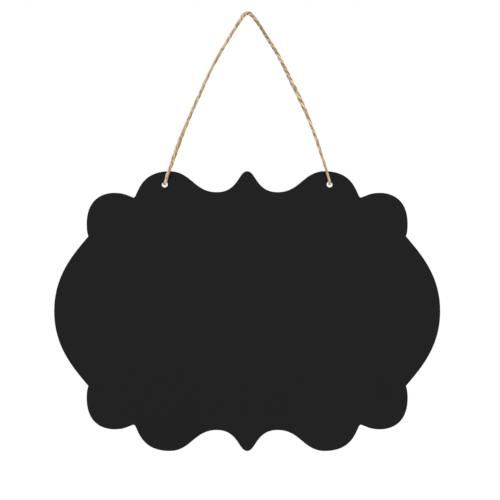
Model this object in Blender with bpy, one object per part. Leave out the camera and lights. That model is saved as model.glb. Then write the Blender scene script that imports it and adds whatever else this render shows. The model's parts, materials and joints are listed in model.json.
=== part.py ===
# A hanging wall chalkboard: a shaped, laminated board on a loop of jute twine.
#
# Metres, +Z up, the front faces -Y. The origin is the hanging point, the underside of the twine's
# top bend, where a nail or hook carries it. The board swings on the line through its two holes.

import math

import bmesh
import bpy
from mathutils import Vector
from mathutils.geometry import interpolate_bezier

# Board
board_width = 0.250
board_height = 0.1812
core_thickness = 0.0025
sheet_thickness = 0.0005
glue_line = 0.0003
sheet_arris = 0.00015

# Twine and its holes
twine_diameter = 0.0022
loop_rise = 0.1097
hole_spacing = 0.1068
hole_inset = 0.0086
hole_clearance = 0.0008
seat_gap = 0.0003

# Knots
strand_gap = 0.0005
tail_length = 0.0095
lead_rise = math.radians(30)
lead_arch = 0.0033
knot_dip = math.radians(10)
knot_opening = 0.7

# Fineness of the curves
outline_steps = 12
hole_steps = 6
tube_resolution = 2
loop_steps = 2
knot_steps = 34
knot_route_steps = 1
arch_steps = 3
bend_steps = 4
ball_steps = 4
gauge_steps = 8

# Sizes that follow
twine_radius = twine_diameter / 2
hole_radius = twine_radius + hole_clearance
bearing_rise = hole_clearance - seat_gap
front_sheet_y = twine_radius + seat_gap
core_y = front_sheet_y + sheet_thickness + glue_line
back_sheet_y = core_y + core_thickness + glue_line
back_face_y = back_sheet_y + sheet_thickness
board_middle_z = hole_inset - board_height / 2

# The outline's upper right quarter, from the middle of the top to the widest point. Each row is a
# point and its curve handles before and after it, across and up, as shares of half the board.
outline_shares = (
    ((0.0000, 1.0000), (-0.0464, 0.0000), (0.0464, 0.0000)),  # tip of the middle crown
    ((0.1580, 0.8503), (-0.1128, 0.0000), (0.1157, 0.0000)),  # dip beside it
    ((0.4014, 1.0000), (-0.1093, 0.0000), (0.1672, 0.0000)),  # round shoulder over the hole
    ((0.5890, 0.8124), (-0.0231, -0.0041), (0.0314, 0.0129)),  # sharp inner corner
    ((0.6889, 0.8453), (-0.0542, 0.0000), (0.0412, 0.0000)),  # top of the corner lobe
    ((0.8315, 0.6217), (0.0000, 0.2000), (0.0000, -0.0640)),  # side of the corner lobe
    ((0.8231, 0.5345), (0.0008, 0.0090), (0.0766, -0.1259)),  # notch above the long side
    ((1.0000, 0.0000), (0.0000, 0.2572), (0.0000, -0.2572)),  # widest point of the side
)
circle_handle_share = 0.5523  # of a circle's radius, for a circle in four quarters

# The twine between the holes, from left to right: across as shares of half the hole spacing, and
# up as shares of the way from the holes to the middle of the twine's top bend.
loop_shares = (
    (-1.000, 0.000),
    (-0.975, 0.055),
    (-0.922, 0.111),
    (-0.881, 0.169),
    (-0.816, 0.257),
    (-0.742, 0.344),
    (-0.664, 0.432),
    (-0.582, 0.519),
    (-0.501, 0.607),
    (-0.413, 0.695),
    (-0.311, 0.782),
    (-0.201, 0.870),
    (-0.128, 0.928),
    (-0.081, 0.963),
    (-0.050, 0.985),
    (-0.024, 0.996),
    (0.009, 1.000),
    (0.037, 0.995),
    (0.065, 0.985),
    (0.099, 0.963),
    (0.152, 0.928),
    (0.226, 0.870),
    (0.342, 0.782),
    (0.441, 0.695),
    (0.529, 0.607),
    (0.620, 0.519),
    (0.702, 0.432),
    (0.777, 0.344),
    (0.843, 0.257),
    (0.903, 0.169),
    (0.943, 0.111),
    (0.983, 0.055),
    (1.000, 0.000),
)

# The overhand knot is a three-lobed knot with one lobe opened. Its ring, lobes and rise, as shares
# of the distance between two strands that lie side by side
knot_ring_share = 0.50
knot_lobe_share = 1.25
knot_rise_share = 0.75

# The cut end beyond the knot: across, along and up from where it leaves, as shares of its length
tail_shares = (
    (0.020, -0.180, 0.000),
    (0.090, -0.355, -0.020),
    (0.230, -0.505, -0.040),
    (0.415, -0.600, -0.080),
    (0.620, -0.645, -0.120),
)


def remove_old_objects():
    for item in list(bpy.data.objects):
        bpy.data.objects.remove(item, do_unlink=True)


def new_collection(name):
    collection = bpy.data.collections.new(name)
    bpy.context.scene.collection.children.link(collection)
    return collection


def new_material(name, color, roughness):
    material = bpy.data.materials.new(name)
    material.use_nodes = True
    shader = material.node_tree.nodes["Principled BSDF"]
    shader.inputs["Base Color"].default_value = (*color, 1)
    shader.inputs["Roughness"].default_value = roughness
    shader.inputs["Metallic"].default_value = 0
    return material


def mirrored(anchors, across, up):
    # The same stretch drawn backwards on the other side, so its handles change places.
    flip = Vector((across, up, 1))
    return [(flip * point, flip * after, flip * before) for point, before, after in reversed(anchors)]


def outline_anchors():
    half_size = Vector((board_width, board_height, 0)) / 2
    quarter = [[half_size * Vector((*pair, 0)) for pair in row] for row in outline_shares]
    right = quarter + mirrored(quarter[:-1], 1, -1)
    return right + mirrored(right[1:-1], -1, 1)


def circle_anchors(radius):
    anchors = []
    for quarter in range(4):
        angle = quarter * math.pi / 2
        spoke = Vector((math.cos(angle), math.sin(angle), 0)) * radius
        handle = Vector((-spoke.y, spoke.x, 0)) * circle_handle_share
        anchors.append((spoke, -handle, handle))
    return anchors


def add_closed_spline(curve, anchors, middle, steps):
    spline = curve.splines.new("BEZIER")
    spline.bezier_points.add(len(anchors) - 1)
    spline.use_cyclic_u = True
    spline.resolution_u = steps
    for item, (point, before, after) in zip(spline.bezier_points, anchors):
        item.handle_left_type = "FREE"
        item.handle_right_type = "FREE"
        item.co = middle + point
        item.handle_left = middle + point + before
        item.handle_right = middle + point + after


def meshed(name, curve, collection, material, parent):
    # Turns a curve into a closed mesh object with its caps joined to its sides.
    drawn = bpy.data.objects.new(name + "_curve", curve)
    collection.objects.link(drawn)
    depsgraph = bpy.context.evaluated_depsgraph_get()
    mesh = bpy.data.meshes.new_from_object(drawn.evaluated_get(depsgraph))
    bpy.data.objects.remove(drawn, do_unlink=True)
    bpy.data.curves.remove(curve)
    mesh.name = name
    mesh.materials.clear()
    mesh.materials.append(material)
    work = bmesh.new()
    work.from_mesh(mesh)
    bmesh.ops.remove_doubles(work, verts=work.verts, dist=seat_gap / 100)
    work.to_mesh(mesh)
    work.free()
    item = bpy.data.objects.new(name, mesh)
    item.parent = parent
    collection.objects.link(item)
    return item


def ease_edge(item, side, width):
    # Breaks the sharp edge round one face of a layer. Side is 1 for the face at local +Z.
    work = bmesh.new()
    work.from_mesh(item.data)
    cap = {face for face in work.faces if round(face.normal.z) == side}
    rim = [edge for face in cap for edge in face.edges if not cap.issuperset(edge.link_faces)]
    bmesh.ops.bevel(work, geom=rim, offset=width, segments=1, affect="EDGES", clamp_overlap=True)
    work.to_mesh(item.data)
    work.free()


def board_layer(name, front_y, thickness, collection, material, hinge):
    # A flat layer with the board's outline and both twine holes.
    curve = bpy.data.curves.new(name, "CURVE")
    curve.dimensions = "2D"
    curve.fill_mode = "BOTH"
    curve.extrude = thickness / 2
    add_closed_spline(curve, outline_anchors(), Vector((0, board_middle_z, 0)), outline_steps)
    for side in (-1, 1):
        middle = Vector((side * hole_spacing / 2, 0, 0))
        add_closed_spline(curve, circle_anchors(hole_radius), middle, hole_steps)
    layer = meshed(name, curve, collection, material, hinge)
    layer.rotation_euler.x = math.pi / 2
    layer.location.y = front_y + thickness / 2
    return layer


def smooth_route(points, steps):
    # Reads a smooth curve through the points, whose slope at each one follows its neighbours.
    padded = [2 * points[0] - points[1], *points, 2 * points[-1] - points[-2]]
    slopes = []
    for before, point, after in zip(padded, padded[1:], padded[2:]):
        behind = (point - before).length
        ahead = (after - point).length
        slope = (point - before) * ahead / behind + (after - point) * behind / ahead
        slopes.append(slope / (behind + ahead))
    route = [points[0]]
    for start, end, leaving, arriving in zip(points, points[1:], slopes, slopes[1:]):
        reach = (end - start).length / 3
        handles = start + leaving * reach, end - arriving * reach
        route.extend(interpolate_bezier(start, *handles, end, steps + 1)[1:])
    return route


def twine_tube(name, route, shares, collection, material, parent):
    # A round tube along the route. The shares set its radius at each point.
    curve = bpy.data.curves.new(name, "CURVE")
    curve.dimensions = "3D"
    curve.bevel_depth = twine_radius
    curve.bevel_resolution = tube_resolution
    curve.use_fill_caps = True
    spline = curve.splines.new("POLY")
    spline.points.add(len(route) - 1)
    for item, point, share in zip(spline.points, route, shares):
        item.co = (*point, 1)
        item.radius = share
    tube = meshed(name, curve, collection, material, parent)
    tube.data.shade_smooth()
    return tube


def ball_end(route):
    # Points past the route's last one, with the radius shares that round the tube off in a ball.
    heading = (route[-1] - route[-2]).normalized()
    points = []
    shares = []
    for step in range(1, ball_steps + 1):
        angle = math.pi / 2 * step / (ball_steps + 0.5)
        points.append(route[-1] + heading * twine_radius * math.sin(angle))
        shares.append(math.cos(angle))
    return points, shares


def twine_loop(collection, material):
    half_width = hole_spacing / 2
    rise = loop_rise + twine_radius
    points = [Vector((across * half_width, 0, up * rise - loop_rise)) for across, up in loop_shares]
    route = smooth_route(points, loop_steps)
    right_end, right_shares = ball_end(route)
    left_end, left_shares = ball_end(route[::-1])
    shares = left_shares[::-1] + [1] * len(route) + right_shares
    return twine_tube("twine_loop", left_end[::-1] + route + right_end, shares, collection, material, None)


def knot_point(turn):
    # Across, along and up from the middle of the knot.
    spacing = twine_diameter + strand_gap
    return spacing * Vector((
        knot_ring_share * math.sin(turn) + knot_lobe_share * math.sin(2 * turn),
        knot_ring_share * math.cos(turn) - knot_lobe_share * math.cos(2 * turn),
        -knot_rise_share * math.sin(3 * turn),
    ))


def knot_route():
    # From the board's front, through the hole, round a bend, over an arch, into the knot and out to
    # the cut end, measured from its own middle at the hole's back mouth: across, along and back from
    # the board. The knot lies flat behind the board, beside the hole.
    first_turn = 3 * math.pi - knot_opening
    last_turn = math.pi + knot_opening
    step_turn = (last_turn - first_turn) / knot_steps
    form = [knot_point(first_turn + step_turn * step) for step in range(knot_steps + 1)]
    arch = []
    for step in range(arch_steps, 0, -1):
        angle = (lead_rise + knot_dip) * step / arch_steps
        arch.append(form[0] + lead_arch * Vector((1 - math.cos(angle), -math.sin(angle), 0)))
    heading = Vector((-math.sin(lead_rise + knot_dip), math.cos(lead_rise + knot_dip), 0))
    bend_radius = twine_diameter
    bend_middle = arch[0] - Vector((0, 0, bend_radius))
    bend = []
    for step in range(bend_steps):
        angle = math.pi / 2 * step / bend_steps
        offset = Vector((0, 0, math.sin(angle))) - heading * math.cos(angle)
        bend.append(bend_middle + bend_radius * offset)
    floor = min(point.z for point in form) - twine_radius
    mouth = Vector((bend[0].x, bend[0].y, floor - seat_gap))
    front = mouth - Vector((0, 0, back_face_y - front_sheet_y))
    tail = [form[-1] + tail_length * Vector(share) for share in tail_shares]
    points = [front, (front + bend[0]) / 2] + bend + arch + form + tail
    return [point - mouth for point in points]


def least_gap(route):
    # The least gap between two strands of the tube, measured on closely read points that lie
    # further apart along it than one tight turn.
    points = smooth_route(route, gauge_steps)
    along = [0]
    for start, end in zip(points, points[1:]):
        along.append(along[-1] + (end - start).length)
    one_turn = math.pi * twine_diameter / 2
    return min(
        (second - first).length - twine_diameter
        for index, first in enumerate(points)
        for other, second in enumerate(points[:index])
        if along[index] - along[other] > one_turn
    )


def overhand_knot(name, side, collection, material, hinge):
    # Side is -1 for the left knot and 1 for the right one, its mirror image. The board hangs on the
    # twine by the top of each hole, so the twine runs above the hole's middle, just clear of its top.
    route = knot_route()
    print(f"{name}: least gap between its strands {least_gap(route) * 1000:.2f} mm")
    placed = []
    for across, along, back in smooth_route(route, knot_route_steps):
        outward = along * math.cos(knot_dip) - across * math.sin(knot_dip)
        down = along * math.sin(knot_dip) + across * math.cos(knot_dip)
        up = bearing_rise - down
        placed.append(Vector((side * (hole_spacing / 2 + outward), back_face_y + back, up)))
    return twine_tube(name, placed, [1] * len(placed), collection, material, hinge)


def build_board():
    remove_old_objects()
    collection = new_collection("wall_chalkboard")
    chalk_black = new_material("chalk_black", (0.0168, 0.0168, 0.0168), 0.92)
    painted_fibre = new_material("painted_fibre", (0.0130, 0.0125, 0.0120), 0.80)
    jute = new_material("jute", (0.4300, 0.3050, 0.1750), 0.95)

    hinge = bpy.data.objects.new("board_hinge", None)
    hinge.location.z = -loop_rise
    collection.objects.link(hinge)

    board_layer("core_panel", core_y, core_thickness, collection, painted_fibre, hinge)
    front = board_layer("front_sheet", front_sheet_y, sheet_thickness, collection, chalk_black, hinge)
    ease_edge(front, 1, sheet_arris)
    back = board_layer("back_sheet", back_sheet_y, sheet_thickness, collection, chalk_black, hinge)
    ease_edge(back, -1, sheet_arris)

    overhand_knot("left_knot", -1, collection, jute, hinge)
    overhand_knot("right_knot", 1, collection, jute, hinge)
    twine_loop(collection, jute)


build_board()
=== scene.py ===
import json
import math
import random

import bmesh
import bpy
from mathutils import Matrix, Vector, noise
from mathutils.geometry import interpolate_bezier


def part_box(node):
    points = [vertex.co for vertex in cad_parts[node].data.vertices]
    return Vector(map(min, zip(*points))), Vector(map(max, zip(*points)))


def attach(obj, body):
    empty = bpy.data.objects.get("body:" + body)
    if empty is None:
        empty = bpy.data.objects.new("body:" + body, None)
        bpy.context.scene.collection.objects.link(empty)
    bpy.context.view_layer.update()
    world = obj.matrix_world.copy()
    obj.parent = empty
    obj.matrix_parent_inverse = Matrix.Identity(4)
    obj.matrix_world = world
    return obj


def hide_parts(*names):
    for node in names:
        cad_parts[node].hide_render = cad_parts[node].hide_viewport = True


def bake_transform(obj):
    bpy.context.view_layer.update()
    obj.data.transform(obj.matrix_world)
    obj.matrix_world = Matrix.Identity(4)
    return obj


# Wall chalkboard on a loop of laid jute twine.
# Metres, +Z up, the front looks along -Y, and the origin is the point that the nail carries.

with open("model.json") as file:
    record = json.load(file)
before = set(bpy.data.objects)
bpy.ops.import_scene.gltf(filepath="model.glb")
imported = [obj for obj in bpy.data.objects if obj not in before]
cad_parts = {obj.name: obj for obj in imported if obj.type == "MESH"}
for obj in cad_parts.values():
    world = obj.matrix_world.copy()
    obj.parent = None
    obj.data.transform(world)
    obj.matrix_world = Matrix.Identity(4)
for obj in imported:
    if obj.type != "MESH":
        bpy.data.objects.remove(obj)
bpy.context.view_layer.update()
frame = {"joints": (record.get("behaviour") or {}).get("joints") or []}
hingeZ = frame["joints"][0]["pos_m"][2]
boardLow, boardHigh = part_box("core_panel")
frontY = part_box("front_sheet")[0].y
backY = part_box("back_sheet")[1].y
print("frame loaded")


# Camera, square on from far away, in the photograph's frame
view = {
    "frameSide": 500,  # pixels
    "boardMiddle": (247.17, 311.10),  # pixels, from the frame's top left
    "boardWide": 386.1,  # pixels
    "distance": 2.6,
    "sensor": 36,  # millimetres
    "sight": 50,  # how far the camera sees
}


def placeCamera():
    pixel = (boardHigh.x - boardLow.x) / view["boardWide"]
    middle = (boardLow + boardHigh) / 2
    across = (view["frameSide"] / 2 - view["boardMiddle"][0]) * pixel
    up = (view["boardMiddle"][1] - view["frameSide"] / 2) * pixel
    data = bpy.data.cameras.new("camera")
    data.sensor_width = view["sensor"]
    data.lens = data.sensor_width * view["distance"] / (view["frameSide"] * pixel)
    data.clip_end = view["sight"]
    camera = bpy.data.objects.new("camera", data)
    camera.location = (middle.x + across, frontY - view["distance"], middle.z + up)
    camera.rotation_euler = (math.pi / 2, 0, 0)
    bpy.context.scene.collection.objects.link(camera)
    bpy.context.scene.camera = camera


placeCamera()
print("camera placed")


# Shader maths
class Wire:
    # A socket's output. Sums and products of wires and numbers add Math nodes.
    def __init__(self, paint, socket):
        self.paint = paint
        self.socket = socket

    def maths(self, operation, first, second):
        return self.paint.node("ShaderNodeMath", {"operation": operation}, {0: first, 1: second})

    def __add__(self, other):
        return self.maths("ADD", self, other)

    def __radd__(self, other):
        return self.maths("ADD", other, self)

    def __sub__(self, other):
        return self.maths("SUBTRACT", self, other)

    def __rsub__(self, other):
        return self.maths("SUBTRACT", other, self)

    def __mul__(self, other):
        return self.maths("MULTIPLY", self, other)

    def __rmul__(self, other):
        return self.maths("MULTIPLY", other, self)

    def __abs__(self):
        return self.maths("ABSOLUTE", self, 0)

    def floor(self):
        return self.maths("FLOOR", self, 0)

    def between(self, low, high):
        # 0 below low, 1 above high, and smooth in between
        settings = {"interpolation_type": "SMOOTHSTEP"}
        inputs = {"Value": self, "From Min": low, "From Max": high}
        return self.paint.node("ShaderNodeMapRange", settings, inputs)


class Paint:
    # A material with one Principled shader
    def __init__(self, name, **constants):
        self.material = bpy.data.materials.new(name)
        self.material.use_nodes = True
        self.tree = self.material.node_tree
        self.shader = self.tree.nodes["Principled BSDF"]
        for socket, value in constants.items():
            self.shader.inputs[socket.replace("_", " ")].default_value = value

    def node(self, kind, settings=None, inputs=None, output=0):
        made = self.tree.nodes.new(kind)
        for key, value in (settings or {}).items():
            if key == "stops":
                self.setStops(made.color_ramp, value)
            else:
                setattr(made, key, value)
        for key, value in (inputs or {}).items():
            self.feed(made.inputs[key], value)
        return Wire(self, made.outputs[output])

    def setStops(self, ramp, stops):
        for place, color in stops[2:]:
            ramp.elements.new(place)
        for element, (place, color) in zip(ramp.elements, stops):
            element.position = place
            element.color = (*color, 1)

    def feed(self, socket, value):
        if isinstance(value, Wire):
            self.tree.links.new(value.socket, socket)
        else:
            socket.default_value = value

    def mix(self, factor, first, second):
        inputs = {"Factor": factor, "A": first, "B": second}
        made = self.tree.nodes.new("ShaderNodeMix")
        made.data_type = "RGBA"
        for socket in made.inputs:
            if socket.enabled and socket.name in inputs:
                self.feed(socket, inputs[socket.name])
        shown = [socket for socket in made.outputs if socket.enabled]
        return Wire(self, shown[0])

    def place(self):
        return self.node("ShaderNodeTexCoord", output="Object")

    def vector(self, x, y, z):
        return self.node("ShaderNodeCombineXYZ", None, {"X": x, "Y": y, "Z": z})

    def stretched(self, source, scale):
        return self.node("ShaderNodeMapping", None, {"Vector": source, "Scale": scale})

    def cloud(self, vector, scale, detail=2.0, roughness=0.5):
        inputs = {"Vector": vector, "Scale": scale, "Detail": detail, "Roughness": roughness}
        return self.node("ShaderNodeTexNoise", {"normalize": True}, inputs)

    def bump(self, height, strength, distance):
        inputs = {"Height": height, "Strength": strength, "Distance": distance}
        self.feed(self.shader.inputs["Normal"], self.node("ShaderNodeBump", None, inputs))

    def color(self, value):
        self.feed(self.shader.inputs["Base Color"], value)

    def roughness(self, value):
        self.feed(self.shader.inputs["Roughness"], value)


chalkPaint = {
    "black": (0.0110, 0.0110, 0.0110, 1),
    "haze": (0.0150, 0.0150, 0.0149, 1),  # what a duster leaves behind
    "hazeRange": (0.20, 0.42),
    "hazeShare": 0.5,
    "clouds": 16,  # where the haze gathers, per metre
    "wipes": (7, 1, 26),  # the strokes that it lies in, per metre each way
    "grain": 0.0004,
    "grainShare": 0.12,
    "detail": (3.0, 0.6),  # layers of finer noise, and how strong each is against the last
    "cloudDetail": (3.0, 0.55),
    "roll": 0.0028,  # length of the paint roller's orange peel
    "shine": 0.085,
    "roughness": (0.80, 0.12, 0.06),  # of clean paint, and what haze and grain add
    "grainHeight": 0.5,  # against the orange peel's
    "bump": 0.22,
    "bumpHeight": 0.00012,
}


def makeChalkPaint():
    paint = Paint("chalkPaint", Specular_IOR_Level=chalkPaint["shine"])
    place = paint.place()
    grain = paint.cloud(place, 1 / chalkPaint["grain"], *chalkPaint["detail"])
    roll = paint.cloud(place, 1 / chalkPaint["roll"])
    wipes = paint.cloud(paint.stretched(place, chalkPaint["wipes"]), 1.0, *chalkPaint["detail"])
    clouds = paint.cloud(place, chalkPaint["clouds"], *chalkPaint["cloudDetail"])
    gathered = (wipes * clouds).between(*chalkPaint["hazeRange"])
    haze = gathered * chalkPaint["hazeShare"] + grain * chalkPaint["grainShare"]
    paint.color(paint.mix(haze, chalkPaint["black"], chalkPaint["haze"]))
    clean, hazy, grainy = chalkPaint["roughness"]
    paint.roughness(clean + haze * hazy + grain * grainy)
    height = grain * chalkPaint["grainHeight"] + roll
    paint.bump(height, chalkPaint["bump"], chalkPaint["bumpHeight"])
    return paint.material


edgePaint = {
    "black": (0.0135, 0.0128, 0.0120, 1),
    "worn": (0.0480, 0.0370, 0.0270, 1),
    "wornRange": (0.30, 0.48),
    "wornShare": 0.6,
    "spots": 420,  # per metre
    "fibre": 0.0005,
    "fibreStretch": (0.35, 3.0, 0.35),  # long along the edge, thin through the board
    "fibreDetail": (3.0, 0.6),
    "shine": 0.25,
    "roughness": (0.66, 0.22),  # of the smoothest fibres, and what the others add
    "bump": 0.45,
    "bumpHeight": 0.0001,
}


def makeEdgePaint():
    # Paint soaked into the cut edge of the fibreboard, so it shows the fibres
    paint = Paint("edgePaint", Specular_IOR_Level=edgePaint["shine"])
    place = paint.place()
    stretched = paint.stretched(place, edgePaint["fibreStretch"])
    layers = paint.cloud(stretched, 1 / edgePaint["fibre"], *edgePaint["fibreDetail"])
    spots = paint.cloud(place, edgePaint["spots"])
    worn = (layers * spots).between(*edgePaint["wornRange"]) * edgePaint["wornShare"]
    paint.color(paint.mix(worn, edgePaint["black"], edgePaint["worn"]))
    smooth, rough = edgePaint["roughness"]
    paint.roughness(smooth + layers * rough)
    paint.bump(layers, edgePaint["bump"], edgePaint["bumpHeight"])
    return paint.material


jute = {
    "dark": (0.104, 0.074, 0.040),
    "mid": (0.548, 0.378, 0.202),
    "light": (0.890, 0.720, 0.470),
    "stops": (0.34, 0.52, 0.68),  # how light the dark, the mid and the light yarn are
    # Fibres: noise for each millimetre along, across a ply, the slant, and from ply to ply
    "fibreRun": (0.16, 9, 0.55, 7),
    "fibreScale": 1.6,
    "fibreDetail": (4.0, 0.65),
    "streaks": 0.50,  # what the fibres add to the lightness
    # Patches of paler yarn: for each millimetre along, from ply to ply, and across a ply
    "patchRun": (0.30, 3.1, 1.5),
    "patchDetail": (3.0, 0.6),
    "patches": 0.62,
    "plyShade": 0.025,
    # Painted shade: a dark colour laid along the grooves between the plies, where shade falls
    "groove": (0.052, 0.040, 0.025, 1),
    "grooveRange": (0.40, 0.60),  # from a ply's middle, at 0, to its seam, at 1
    "bridgeRun": 0.16,  # fibres bridge the grooves here and there
    "bridgePlace": 7,
    "bridgeRange": (0.36, 0.62),
    "shine": 0.25,
    "roughness": (0.78, 0.18),  # of the smoothest fibres, and what the others add
    "bump": 0.7,
    "bumpHeight": 0.0002,
}


def makeJute():
    # The UV map runs along the twine in millimetres, and across it by 1 for each ply. A ply's middle
    # faces outwards, and its seam lies in the heart of the twine.
    paint = Paint("jute", Specular_IOR_Level=jute["shine"])
    uv = paint.node("ShaderNodeUVMap", {"uv_map": "UVMap"})
    along = paint.node("ShaderNodeSeparateXYZ", None, {"Vector": uv}, "X")
    across = paint.node("ShaderNodeSeparateXYZ", None, {"Vector": uv}, "Y")
    ply = across.floor()
    share = across - ply
    inner = abs(share - 0.5) * 2
    run, count, slant, shift = jute["fibreRun"]
    fibres = paint.vector(along * run, share * count + along * slant, ply * shift)
    streaks = paint.cloud(fibres, jute["fibreScale"], *jute["fibreDetail"])
    run, shift, spread = jute["patchRun"]
    patched = paint.vector(along * run, ply * shift, share * spread)
    patches = paint.cloud(patched, 1.0, *jute["patchDetail"])
    # Painted light: the twine is lighter near each hole, where the hole shades it, and darker over
    # the nail; read from its vertices
    worn = paint.node("ShaderNodeAttribute", {"attribute_name": "wear"}, output="Fac")
    lightness = streaks * jute["streaks"] + patches * jute["patches"] - ply * jute["plyShade"] + worn
    stops = tuple(zip(jute["stops"], (jute["dark"], jute["mid"], jute["light"])))
    yarn = paint.node("ShaderNodeValToRGB", {"stops": stops}, {"Fac": lightness})
    # Painted shade: the grooves between the plies are darkened in the colour, except where fibres
    # bridge them
    bridged = paint.cloud(paint.vector(along * jute["bridgeRun"], jute["bridgePlace"], 0), 1.0)
    groove = inner.between(*jute["grooveRange"]) * bridged.between(*jute["bridgeRange"])
    paint.color(paint.mix(groove, yarn, jute["groove"]))
    smooth, rough = jute["roughness"]
    paint.roughness(smooth + streaks * rough)
    paint.bump(streaks, jute["bump"], jute["bumpHeight"])
    return paint.material


chalkFinish = makeChalkPaint()
edgeFinish = makeEdgePaint()
juteFinish = makeJute()
print("finishes made")


def addPiece(name, data, node, body=None):
    piece = bpy.data.objects.new(name, data)
    bpy.context.scene.collection.objects.link(piece)
    if body:
        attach(piece, body)
    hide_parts(node)
    return piece


def meshOfCurve(curve):
    drawn = bpy.data.objects.new("drawn", curve)
    bpy.context.scene.collection.objects.link(drawn)
    depsgraph = bpy.context.evaluated_depsgraph_get()
    mesh = bpy.data.meshes.new_from_object(drawn.evaluated_get(depsgraph))
    bpy.data.objects.remove(drawn)
    bpy.data.curves.remove(curve)
    return mesh


# The board: a fibreboard core between two sheets with the chalk surface
outline = {
    # The upper right quarter from the middle of the top to the widest point, as shares of half the
    # board: a point, and its handles before and after it.
    "quarterShares": (
        ((0.0000, 1.0000), (-0.0464, 0.0000), (0.0464, 0.0000)),
        ((0.1580, 0.8503), (-0.1128, 0.0000), (0.1157, 0.0000)),
        ((0.4014, 1.0000), (-0.1093, 0.0000), (0.1672, 0.0000)),
        ((0.5890, 0.8124), (-0.0231, -0.0041), (0.0314, 0.0129)),
        ((0.6889, 0.8453), (-0.0542, 0.0000), (0.0412, 0.0000)),
        ((0.8315, 0.6217), (0.0000, 0.2000), (0.0000, -0.0640)),
        ((0.8231, 0.5345), (0.0008, 0.0090), (0.0766, -0.1259)),
        ((1.0000, 0.0000), (0.0000, 0.2572), (0.0000, -0.2572)),
    ),
    "steps": 32,
    "holeSpacing": 0.1068,
    "holeRadius": 0.0019,
    "holeSteps": 12,
    "circleHandleShare": 0.5523,
    "weld": 0.000002,
}
arris = {
    "sheet": 0.00028,
    "seam": 0.00008,
    "segments": 3,
    "sharp": math.radians(32),  # rims that turn more than this stay crisp
    "paintedTo": 0.9,  # how squarely a face must look forwards or back to have chalk paint
    "flatFrom": 0.999,
}


def mirrored(anchors, across, up):
    flip = Vector((across, up, 1))
    return [(flip * point, flip * after, flip * before) for point, before, after in reversed(anchors)]


def outlineAnchors():
    halfSize = Vector((boardHigh.x - boardLow.x, boardHigh.z - boardLow.z, 0)) / 2
    quarter = [[halfSize * Vector((*pair, 0)) for pair in row] for row in outline["quarterShares"]]
    right = quarter + mirrored(quarter[:-1], 1, -1)
    return right + mirrored(right[1:-1], -1, 1)


def circleAnchors(radius):
    anchors = []
    for quarter in range(4):
        spoke = Matrix.Rotation(quarter * math.pi / 2, 3, "Z") @ Vector((radius, 0, 0))
        handle = Vector((-spoke.y, spoke.x, 0)) * outline["circleHandleShare"]
        anchors.append((spoke, -handle, handle))
    return anchors


def addSpline(curve, anchors, middle, steps):
    spline = curve.splines.new("BEZIER")
    spline.bezier_points.add(len(anchors) - 1)
    spline.use_cyclic_u = True
    spline.resolution_u = steps
    for knot, (point, before, after) in zip(spline.bezier_points, anchors):
        knot.handle_left_type = "FREE"
        knot.handle_right_type = "FREE"
        knot.co = middle + point
        knot.handle_left = knot.co + before
        knot.handle_right = knot.co + after


def makeLayer(name, node, nearY, farY, nearArris, farArris):
    # A flat layer from nearY to farY, with the rims of both faces rounded.
    curve = bpy.data.curves.new(name, "CURVE")
    curve.dimensions = "2D"
    curve.fill_mode = "BOTH"
    curve.extrude = (farY - nearY) / 2
    middleZ = (boardLow.z + boardHigh.z) / 2
    addSpline(curve, outlineAnchors(), Vector((0, middleZ, 0)), outline["steps"])
    for side in (-1, 1):
        middle = Vector((side * outline["holeSpacing"] / 2, hingeZ, 0))
        addSpline(curve, circleAnchors(outline["holeRadius"]), middle, outline["holeSteps"])
    mesh = meshOfCurve(curve)
    upright = Matrix.Rotation(math.pi / 2, 4, "X")
    mesh.transform(Matrix.Translation((0, (nearY + farY) / 2, 0)) @ upright)
    mesh.materials.clear()
    mesh.materials.append(chalkFinish)
    mesh.materials.append(edgeFinish)
    work = bmesh.new()
    work.from_mesh(mesh)
    bmesh.ops.remove_doubles(work, verts=work.verts, dist=outline["weld"])
    for side, width in ((-1, nearArris), (1, farArris)):
        cap = [face for face in work.faces if round(face.normal.y) == side]
        inner = set(cap)
        rim = [edge for face in cap for edge in face.edges if not inner.issuperset(edge.link_faces)]
        bmesh.ops.bevel(work, geom=rim, offset=width, segments=arris["segments"], profile=0.5,
                        affect="EDGES", clamp_overlap=True, material=-1)
    for face in work.faces:
        face.material_index = 0 if abs(face.normal.y) > arris["paintedTo"] else 1
    work.to_mesh(mesh)
    work.free()
    mesh.set_sharp_from_angle(angle=arris["sharp"])
    for face in mesh.polygons:
        face.use_smooth = abs(face.normal.y) < arris["flatFrom"]
    addPiece(name, mesh, node, "board")


def makeBoard():
    coreLow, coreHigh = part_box("core_panel")
    nearSeam = (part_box("front_sheet")[1].y + coreLow.y) / 2
    farSeam = (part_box("back_sheet")[0].y + coreHigh.y) / 2
    sheet, seam = arris["sheet"], arris["seam"]
    makeLayer("frontSheet", "front_sheet", frontY, nearSeam, sheet, seam)
    makeLayer("corePanel", "core_panel", nearSeam, farSeam, seam, seam)
    makeLayer("backSheet", "back_sheet", farSeam, backY, seam, sheet)


makeBoard()
print("board made")


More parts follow.
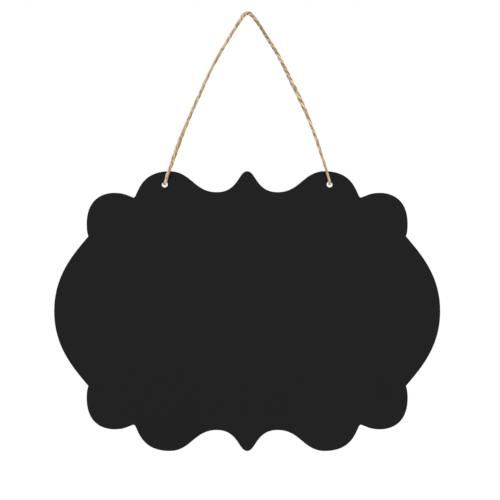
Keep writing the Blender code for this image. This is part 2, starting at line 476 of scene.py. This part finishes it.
# The twine: one length of three-ply laid jute, from the left cut end to the right one
twine = {
    "diameter": 0.0022,
    "loopRise": 0.1097,
    "seatGap": 0.0003,
    "holeSeat": 0.0005,  # how far above its hole's middle the twine bears on the hole
    # Across as shares of half the hole spacing, and up as shares of the way to the top bend
    "loopShares": (
        (-0.968, 0.055),
        (-0.922, 0.111),
        (-0.881, 0.169),
        (-0.816, 0.257),
        (-0.742, 0.344),
        (-0.664, 0.432),
        (-0.582, 0.519),
        (-0.501, 0.607),
        (-0.413, 0.695),
        (-0.311, 0.782),
        (-0.201, 0.870),
        (-0.128, 0.928),
        (-0.081, 0.963),
        (-0.050, 0.985),
        (-0.024, 0.996),
        (0.009, 1.000),
        (0.037, 0.995),
        (0.065, 0.985),
        (0.099, 0.963),
        (0.152, 0.928),
        (0.226, 0.870),
        (0.342, 0.782),
        (0.441, 0.695),
        (0.529, 0.607),
        (0.620, 0.519),
        (0.702, 0.432),
        (0.777, 0.344),
        (0.843, 0.257),
        (0.903, 0.169),
        (0.943, 0.111),
        (0.977, 0.055),
        (0.989, 0.035),
    ),
    "smoothSteps": 12,
    "holeBend": 0.0018,  # radius of the turn into each hole
    "holeSteps": 3,
    "holeLeans": {-1: 0.29, 1: 0.03},  # towards the middle on the way up from it
    "plies": 3,
    "lay": 0.0165,  # length of one whole turn
    # Slack and tight stretches of the lay from the left hole to the right one
    "layShares": (0.95, 1.25, 1.20, 1.10, 0.60, 0.62, 0.80, 1.10, 1.25, 0.95),
    "plyRadius": 0.00062,
    "plyReach": 0.00048,  # from the twine's middle to a ply's
    "plyGap": 0.000006,  # half the gap between two plies where they press together
    "swayRun": 180,  # noise for each metre along, by which the lay wavers
    "swayTurn": 0.5,
    "swayShare": 0.05,
    "swellRun": (700, 5),  # noise for each metre along and from ply to ply, by which a ply swells
    "swellPlace": 4,
    "swellShare": 0.07,
    # Thin and thick stretches from the left hole to the right one, as shares of the diameter
    "girthShares": (0.92, 1.00, 1.17, 1.28, 1.09, 0.96, 1.01, 0.96, 0.90, 0.97, 0.96, 0.99, 1.14,
                    1.09, 0.99, 1.09, 1.11, 1.16, 1.25, 1.29, 1.05, 0.91, 0.97, 0.86, 0.75, 0.90),
    "bendSwell": 0.16,  # how much the plies open over the nail, within bendReach of it
    "bendReach": 0.005,
    "nailStretch": (0.455, 0.645),  # darker, as shares of the way between the holes
    "nailShade": 0.078,
    "holeStretch": 0.012,  # how far the painted light reaches on either side of each hole, where the hole shades the twine
    "holePallor": {-1: 0.07, 1: 0.17},
    "ringStep": 0.0004,
    "ringSides": 14,
    "weld": 0.000001,
    "seamMargin": 0.001,  # keeps the UV map of a ply's seam inside that ply
    "foldSpan": 0.003,  # how far from its holes the twine would bend when the board folds
}
knot = {
    "strandGap": 0.0005,
    # The overhand knot's curve, as shares of a strand's thickness and gap
    "ringShare": 0.50,
    "lobeShare": 1.25,
    "riseShare": 0.75,
    "opening": 0.7,  # radians of it left out where its strands part
    "steps": 34,
    "setRise": math.radians(30),  # slope and radius of the arch that sets the knot beside its hole
    "setArch": 0.0033,
    "dip": math.radians(10),  # the knot leans down by this much
    "leadRise": math.radians(55),  # slope at which the twine leaves its hole, up and outwards
    "leadBend": 0.0015,
    "leadReach": 0.0011,
    "leadSteps": 4,
    "tail": 0.0095,
    "tailShares": (
        (0.020, -0.180, 0.000),
        (0.090, -0.355, -0.020),
        (0.230, -0.505, -0.040),
        (0.415, -0.600, -0.080),
        (0.620, -0.645, -0.120),
    ),
}
fray = {
    "length": 0.0032,
    "spread": 0.00050,
    "taper": 1.5,
    "thinning": 0.6,
    "fibres": 80,  # on each ply
    "rootedShare": 0.8,  # of the frayed length, where the fibres start
    "crowding": 1.5,  # more of them start near the cut end
    "rootDepth": (0.2, 0.95),  # shares of the ply's radius
    "reach": 0.0046,
    "shortestShare": 0.45,
    "lean": (0.05, 0.5),  # away from the ply's middle
    "part": (0, 0.25),  # away from the other plies
    "droop": (0, 0.3),
    "leanCurve": 1.5,
    "droopCurve": 2,
    "tuckedShare": 0.1,  # of a fibre, inside the ply
    "wave": 0.00016,
    "waveTurn": 5,
    "points": 8,
}
fuzz = {
    "perMetre": 2600,
    "length": (0.0012, 0.0042),
    "lift": 0.00154,
    "leastLift": 0.1,
    "turn": 1.5,  # radians round the twine, either way
    "rootedShare": 0.8,  # of a ply's radius
    "radius": 0.000017,
    "thickness": (0.8, 1.6),
    "taper": 0.7,
    "points": 10,
    "fewestPoints": 3,
    "clearance": 0.0001,
    "tone": -3.5,  # painted light: a lighter yarn than the plies, against the shade the thin fibres fall into
    "toneSpan": 300,
    "seed": 11,
}


def smoothRoute(points, steps):
    # Reads a smooth curve through the points, whose slope at each follows its neighbours.
    padded = [2 * points[0] - points[1], *points, 2 * points[-1] - points[-2]]
    slopes = []
    for before, point, after in zip(padded, padded[1:], padded[2:]):
        behind = (point - before).length
        ahead = (after - point).length
        slope = (point - before) * ahead / behind + (after - point) * behind / ahead
        slopes.append(slope / (behind + ahead))
    route = [points[0]]
    for start, end, leaving, arriving in zip(points, points[1:], slopes, slopes[1:]):
        reach = (end - start).length / 3
        handles = start + leaving * reach, end - arriving * reach
        route.extend(interpolate_bezier(start, *handles, end, steps + 1)[1:])
    return route


def evenly(points, step):
    # The same line with its points one step apart.
    length = sum((end - start).length for start, end in zip(points, points[1:]))
    step = length / round(length / step)
    even = [points[0]]
    need = step
    for start, end in zip(points, points[1:]):
        gap = (end - start).length
        while need <= gap:
            even.append(start.lerp(end, need / gap))
            need += step
        need -= gap
    if (even[-1] - points[-1]).length > step / 2:
        even.append(points[-1])
    return even


def knotPoint(turn):
    spacing = twine["diameter"] + knot["strandGap"]
    return spacing * Vector((
        knot["ringShare"] * math.sin(turn) + knot["lobeShare"] * math.sin(2 * turn),
        knot["ringShare"] * math.cos(turn) - knot["lobeShare"] * math.cos(2 * turn),
        -knot["riseShare"] * math.sin(3 * turn),
    ))


def knotRoute(side):
    # From inside the hole, round a bend, over a hump, into the overhand knot and to the cut end.
    firstTurn = 3 * math.pi - knot["opening"]
    turn = (math.pi + knot["opening"] - firstTurn) / knot["steps"]
    form = [knotPoint(firstTurn + turn * step) for step in range(knot["steps"] + 1)]
    lean = knot["setRise"] + knot["dip"]
    hole = form[0] + knot["setArch"] * Vector((1 - math.cos(lean), -math.sin(lean), 0))
    hole -= twine["diameter"] * Vector((-math.sin(lean), math.cos(lean), 0))
    lean = knot["leadRise"] + knot["dip"]
    heading = Vector((-math.sin(lean), math.cos(lean), 0))
    bend = []
    for step in range(knot["leadSteps"] + 1):
        angle = math.pi / 2 * step / knot["leadSteps"]
        offset = heading * (1 - math.cos(angle)) + Vector((0, 0, math.sin(angle) - 1))
        bend.append(hole + knot["leadBend"] * offset)
    handles = bend[-1] + knot["leadReach"] * heading, form[0] - Vector((0, knot["leadReach"], 0))
    arch = interpolate_bezier(bend[-1], *handles, form[0], knot["leadSteps"] + 1)[1:-1]
    floor = min(point.z for point in form) - twine["diameter"] / 2
    mouth = Vector((hole.x, hole.y, floor - twine["seatGap"]))
    inside = mouth - Vector((0, 0, (backY - frontY) / 2))
    tail = [form[-1] + knot["tail"] * Vector(share) for share in knot["tailShares"]]
    placed = []
    for point in [inside] + bend + arch + form + tail:
        across, along, back = point - mouth
        outward = along * math.cos(knot["dip"]) - across * math.sin(knot["dip"])
        down = along * math.sin(knot["dip"]) + across * math.cos(knot["dip"])
        across = side * (outline["holeSpacing"] / 2 + outward)
        placed.append(Vector((across, backY + back, hingeZ + twine["holeSeat"] - down)))
    return placed


def holeTurn(side):
    # From hanging down in front of the hole to running back into it.
    radius = twine["holeBend"]
    turn = []
    for step in range(twine["holeSteps"] + 1):
        angle = math.pi / 2 * step / twine["holeSteps"]
        back = radius * (1 - math.cos(angle))
        up = twine["holeSeat"] + radius * (1 - math.sin(angle))
        across = outline["holeSpacing"] / 2 - twine["holeLeans"][side] * up
        turn.append(Vector((side * across, back, hingeZ + up)))
    return turn


def twineRoute():
    # The whole route, and where along it the free loop starts and ends.
    rise = twine["loopRise"] + twine["diameter"] / 2
    half = outline["holeSpacing"] / 2
    loop = [Vector((across * half, 0, hingeZ + up * rise)) for across, up in twine["loopShares"]]
    left = knotRoute(-1)
    right = knotRoute(1)
    points = left[::-1] + holeTurn(-1)[::-1] + loop + holeTurn(1) + right
    even = evenly(smoothRoute(points, twine["smoothSteps"]), twine["ringStep"])
    ends = [min(range(len(even)), key=lambda i: (even[i] - end[0]).length) for end in (left, right)]
    return even, ends


def turningFrames(points):
    # A tangent and a normal at each point. The normals turn no more than the line does.
    tangents = [(after - before).normalized() for before, after in
                zip([points[0]] + points[:-1], points[1:] + [points[-1]])]
    normal = tangents[0].orthogonal().normalized()
    frames = []
    last = tangents[0]
    for tangent in tangents:
        normal = last.rotation_difference(tangent) @ normal
        normal = (normal - tangent * normal.dot(tangent)).normalized()
        frames.append((tangent, normal))
        last = tangent
    return frames


route, loopEnds = twineRoute()
routeFrames = turningFrames(route)
ringStep = sum((b - a).length for a, b in zip(route, route[1:])) / (len(route) - 1)
topIndex = max(range(len(route)), key=lambda index: route[index].z)
print("twine route:", len(route), "points,", round(ringStep * (len(route) - 1), 4), "m in all")


def alongRoute(place):
    # The middle of the twine and its frame, that many rings from the left cut end.
    index = min(int(place), len(route) - 2)
    return (route[index].lerp(route[index + 1], place - index), *routeFrames[index])


def frayed(index):
    # How far a ring lies into the frayed end, from 0 to 1.
    gap = min(index, len(route) - 1 - index) * ringStep
    return max(0, 1 - gap / fray["length"]) ** fray["taper"]


def shareAt(shares, index):
    # A share read smoothly from a list of them that runs from the left hole to the right one.
    first, last = loopEnds
    place = min(max((index - first) / (last - first), 0), 1) * (len(shares) - 1)
    start = min(int(place), len(shares) - 2)
    blend = (1 - math.cos((place - start) * math.pi)) / 2
    return shares[start] * (1 - blend) + shares[start + 1] * blend


def girth(index):
    # The twine's thickness there, as a share of its diameter.
    near = max(1 - abs(index - topIndex) * ringStep / twine["bendReach"], 0)
    return shareAt(twine["girthShares"], index) * (1 + twine["bendSwell"] * near)


def laidTurns():
    # How far the plies have turned at each ring.
    turns = [0]
    for index in range(1, len(route)):
        lay = twine["lay"] * shareAt(twine["layShares"], index)
        turns.append(turns[-1] - 2 * math.pi * ringStep / lay)
    return turns


turns = laidTurns()


def plyRing(index, ply):
    # The middle of a ply, its outward direction and its radius there.
    tangent, normal = routeFrames[index]
    place = index * ringStep
    sway = noise.noise(Vector((place * twine["swayRun"], 0, 0)))
    angle = turns[index] + ply * 2 * math.pi / twine["plies"] + twine["swayTurn"] * sway
    outward = Matrix.Rotation(angle, 3, tangent) @ normal
    along, shift = twine["swellRun"]
    swell = noise.noise(Vector((place * along, ply * shift, twine["swellPlace"])))
    reach = twine["plyReach"] * girth(index) * (1 + twine["swayShare"] * sway)
    reach += fray["spread"] * frayed(index)
    radius = twine["plyRadius"] * girth(index) * (1 + twine["swellShare"] * swell)
    radius *= 1 - fray["thinning"] * frayed(index)
    return route[index] + outward * reach, outward, radius


def pressed(index, middle, outward, radius, turn):
    # A point round a ply, kept to the ply's own third of the twine, where the plies press together.
    tangent = routeFrames[index][0]
    sideways = tangent.cross(outward)
    reach = (middle - route[index]).dot(outward)
    out = reach + radius * math.cos(turn)
    aside = radius * math.sin(turn)
    if frayed(index) == 0:
        room = max(out * math.tan(math.pi / twine["plies"]), 0) - 2 * twine["plyGap"]
        out = max(out, 4 * twine["plyGap"])
        aside = max(min(aside, room), -room)
    return route[index] + outward * out + sideways * aside


def wear(index):
    # How much paler or darker than its usual tone the yarn is there: darker over the nail, and
    # painted light near each hole, where the hole shades the twine.
    first, last = loopEnds
    low, high = twine["nailStretch"]
    overNail = min(max(((index - first) / (last - first) - low) / (high - low), 0), 1)
    tone = -twine["nailShade"] * math.sin(math.pi * overNail) ** 2
    for side, end in ((-1, first), (1, last)):
        holeLight = 1 - abs(index - end) * ringStep / twine["holeStretch"]
        tone += twine["holePallor"][side] * max(holeLight, 0)
    return tone


def addPly(work, uvLayer, darkeningAndPaintedLightLayer, first, last, ply):
    # A grid wrapped round the ply's line, with its seam in the heart of the twine.
    rings = last - first
    sides = twine["ringSides"]
    margin = twine["seamMargin"]
    old = set(work.verts)
    bmesh.ops.create_grid(work, x_segments=rings, y_segments=sides, size=0.5, calc_uvs=True)
    fresh = [vert for vert in work.verts if vert not in old]
    faces = {face for vert in fresh for face in vert.link_faces}
    middles = [plyRing(index, ply) for index in range(first, last + 1)]
    for face in faces:
        face.smooth = True
        for loop in face.loops:
            share = loop[uvLayer].uv
            share.x = (first + share.x * rings) * ringStep * 1000  # in millimetres
            share.y = ply + min(max(share.y, margin), 1 - margin)
    for vert in fresh:
        index = round((vert.co.x + 0.5) * rings)
        middle, outward, radius = middles[index]
        turn = (vert.co.y + 0.5) * 2 * math.pi + math.pi
        vert.co = pressed(first + index, middle, outward, radius, turn)
        vert[darkeningAndPaintedLightLayer] = wear(first + index)
    bmesh.ops.remove_doubles(work, verts=fresh, dist=twine["weld"])
    openEdges = [edge for edge in work.edges if edge.is_boundary]
    bmesh.ops.holes_fill(work, edges=openEdges, sides=sides)


def fibreCurve(lines):
    curve = bpy.data.curves.new("fibres", "CURVE")
    curve.dimensions = "3D"
    curve.bevel_depth = fuzz["radius"]
    curve.bevel_resolution = 0
    curve.use_fill_caps = True
    chance = random.Random(len(lines))
    for line in lines:
        thickness = chance.uniform(*fuzz["thickness"])
        spline = curve.splines.new("POLY")
        spline.points.add(len(line) - 1)
        for step, (item, point) in enumerate(zip(spline.points, line)):
            item.co = (*point, 1)
            item.radius = thickness * (1 - fuzz["taper"] * step / (len(line) - 1))
    return curve


def clearOfBoard(point):
    # Keeps a fibre in front of the board or behind it.
    margin = fuzz["clearance"]
    inside = boardLow.x < point.x < boardHigh.x and point.z < boardHigh.z + margin
    if inside and frontY - margin < point.y < backY + margin:
        middle = (frontY + backY) / 2
        point.y = frontY - margin if point.y < middle else backY + margin
    return point


def looseFibres(first, last, seed):
    # Fibres that lift from the twine and lie along it, one way or the other.
    chance = random.Random(seed)
    lines = []
    for count in range(round(fuzz["perMetre"] * (last - first) * ringStep)):
        start = chance.randrange(first, last)
        way = chance.choice((-1, 1))
        length = chance.uniform(*fuzz["length"])
        lift = fuzz["lift"] * chance.uniform(fuzz["leastLift"], 1) ** 2
        angle = chance.uniform(0, 2 * math.pi)
        turn = chance.uniform(-fuzz["turn"], fuzz["turn"])
        line = []
        for step in range(fuzz["points"]):
            share = step / (fuzz["points"] - 1)
            place = start + way * share * length / ringStep
            if not first <= place < last:
                break
            middle, tangent, normal = alongRoute(place)
            outward = Matrix.Rotation(angle + turn * share, 3, tangent) @ normal
            root = (twine["plyReach"] + twine["plyRadius"] * fuzz["rootedShare"]) * girth(place)
            line.append(clearOfBoard(middle + outward * (root + lift * share)))
        if len(line) >= fuzz["fewestPoints"]:
            lines.append(line)
    return lines


def tuftFibres(index, seed):
    # Fibres that work loose along the last of each ply and spread past the cut end.
    chance = random.Random(seed)
    back = 1 if index == 0 else -1
    rings = round(fray["rootedShare"] * fray["length"] / ringStep)
    lines = []
    for ply in range(twine["plies"]):
        for count in range(fray["fibres"]):
            ring = index + back * int(rings * chance.random() ** fray["crowding"])
            middle, outward, radius = plyRing(ring, ply)
            way = routeFrames[ring][0] * -back
            side = Matrix.Rotation(chance.uniform(0, 2 * math.pi), 3, way) @ outward
            start = middle + side * radius * chance.uniform(*fray["rootDepth"])
            lean = side * chance.uniform(*fray["lean"]) + outward * chance.uniform(*fray["part"])
            droop = Vector((0, 0, -1)) * chance.uniform(*fray["droop"])
            length = fray["reach"] * chance.uniform(fray["shortestShare"], 1)
            phase = chance.uniform(0, 2 * math.pi)
            line = []
            for step in range(fray["points"]):
                share = step / (fray["points"] - 1)
                path = way * (share - fray["tuckedShare"]) + lean * share ** fray["leanCurve"]
                path += droop * share ** fray["droopCurve"]
                wave = fray["wave"] * math.sin(phase + fray["waveTurn"] * share) * share
                line.append(clearOfBoard(start + path * length + outward.cross(way) * wave))
            lines.append(line)
    return lines


def makeTwine(name, node, first, last, lines, body=None):
    # Three plies from one ring to another, and the fibres on them.
    work = bmesh.new()
    uvLayer = work.loops.layers.uv.new("UVMap")
    darkeningAndPaintedLightLayer = work.verts.layers.float.new("wear")
    for ply in range(twine["plies"]):
        addPly(work, uvLayer, darkeningAndPaintedLightLayer, first, last, ply)
    bmesh.ops.recalc_face_normals(work, faces=work.faces)
    plyFaces = len(work.faces)
    work.from_mesh(meshOfCurve(fibreCurve(lines)))
    work.faces.ensure_lookup_table()
    chance = random.Random(len(lines))
    # The loose fibres take the lighter fuzz yarn: painted light against their own shade
    for face in work.faces[plyFaces:]:
        face.smooth = True
        for loop in face.loops:
            loop[uvLayer].uv = (chance.uniform(0, fuzz["toneSpan"]), fuzz["tone"])
    mesh = bpy.data.meshes.new(name)
    work.to_mesh(mesh)
    work.free()
    mesh.materials.append(juteFinish)
    return addPiece(name, mesh, node, body)


def makeAllTwine():
    first, last = loopEnds
    end = len(route) - 1
    seed = fuzz["seed"]
    leftLines = looseFibres(0, first, seed) + tuftFibres(0, seed + 1)
    rightLines = looseFibres(last, end, seed + 2) + tuftFibres(end, seed + 3)
    loopLines = looseFibres(first, last, seed + 4)
    left = makeTwine("leftKnot", "left_knot", 0, first, leftLines, "board")
    right = makeTwine("rightKnot", "right_knot", last, end, rightLines, "board")
    loop = makeTwine("twineLoop", "twine_loop", first, last, loopLines)
    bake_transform(loop)
    path = route[first:last + 1]
    length = ringStep * (last - first)
    print("twine between the holes:", round(length, 4), "m")


makeAllTwine()
print("twine made")


# A pale floor below, soft lamps and a white surround
studio = {
    "floorDrop": 0.60,  # below the board
    "floorRadius": 1.05,
    "floorSegments": 96,
    "floorColor": (0.86, 0.86, 0.86),
    "floorShade": 0.97,  # its specks are this much of its colour
    "floorSpecks": 60,  # per metre
    "floorRoughness": 0.9,
    "surround": 0.45,  # the light that it gives, while the camera and reflections see it white
    "lamps": (
        # name, place, size, watts
        ("key", (-0.15, -0.90, 2.00), 0.7, 53),
        ("fill", (0.5, -2.1, 0.1), 1.4, 6.5),
        ("back", (0.4, 1.6, 1.3), 1.2, 28),
    ),
}


def makeFloor():
    work = bmesh.new()
    radius = studio["floorRadius"]
    bmesh.ops.create_circle(work, cap_ends=True, segments=studio["floorSegments"], radius=radius)
    bmesh.ops.translate(work, verts=work.verts, vec=(0, 0, boardLow.z - studio["floorDrop"]))
    mesh = bpy.data.meshes.new("floor")
    work.to_mesh(mesh)
    work.free()
    paint = Paint("floorPaint", Roughness=studio["floorRoughness"])
    specks = paint.cloud(paint.place(), studio["floorSpecks"])
    speckColor = tuple(studio["floorShade"] * part for part in studio["floorColor"])
    paint.color(paint.mix(specks, (*speckColor, 1), (*studio["floorColor"], 1)))
    mesh.materials.append(paint.material)
    floor = bpy.data.objects.new("floor", mesh)
    bpy.context.scene.collection.objects.link(floor)


def makeSurround():
    world = bpy.data.worlds.new("surround")
    world.use_nodes = True
    nodes = world.node_tree.nodes
    links = world.node_tree.links
    background = nodes["Background"]
    background.inputs["Color"].default_value = (1, 1, 1, 1)
    path = nodes.new("ShaderNodeLightPath")
    seen = path.outputs["Is Camera Ray"]
    for ray in ("Is Glossy Ray", "Is Transmission Ray"):
        either = nodes.new("ShaderNodeMath")
        either.operation = "MAXIMUM"
        links.new(seen, either.inputs[0])
        links.new(path.outputs[ray], either.inputs[1])
        seen = either.outputs[0]
    strength = nodes.new("ShaderNodeMapRange")
    strength.inputs["To Min"].default_value = studio["surround"]
    strength.inputs["To Max"].default_value = 1
    links.new(seen, strength.inputs["Value"])
    links.new(strength.outputs[0], background.inputs["Strength"])
    bpy.context.scene.world = world


def makeLamps():
    target = (boardLow + boardHigh) / 2
    for name, place, size, watts in studio["lamps"]:
        data = bpy.data.lights.new(name, "AREA")
        data.shape = "DISK"
        data.size = size
        data.energy = watts
        lamp = bpy.data.objects.new(name, data)
        lamp.location = place
        lamp.rotation_euler = (target - Vector(place)).to_track_quat("-Z", "Y").to_euler()
        bpy.context.scene.collection.objects.link(lamp)


makeFloor()
makeSurround()
makeLamps()
bpy.context.scene.view_settings.view_transform = "Standard"
print("studio made")
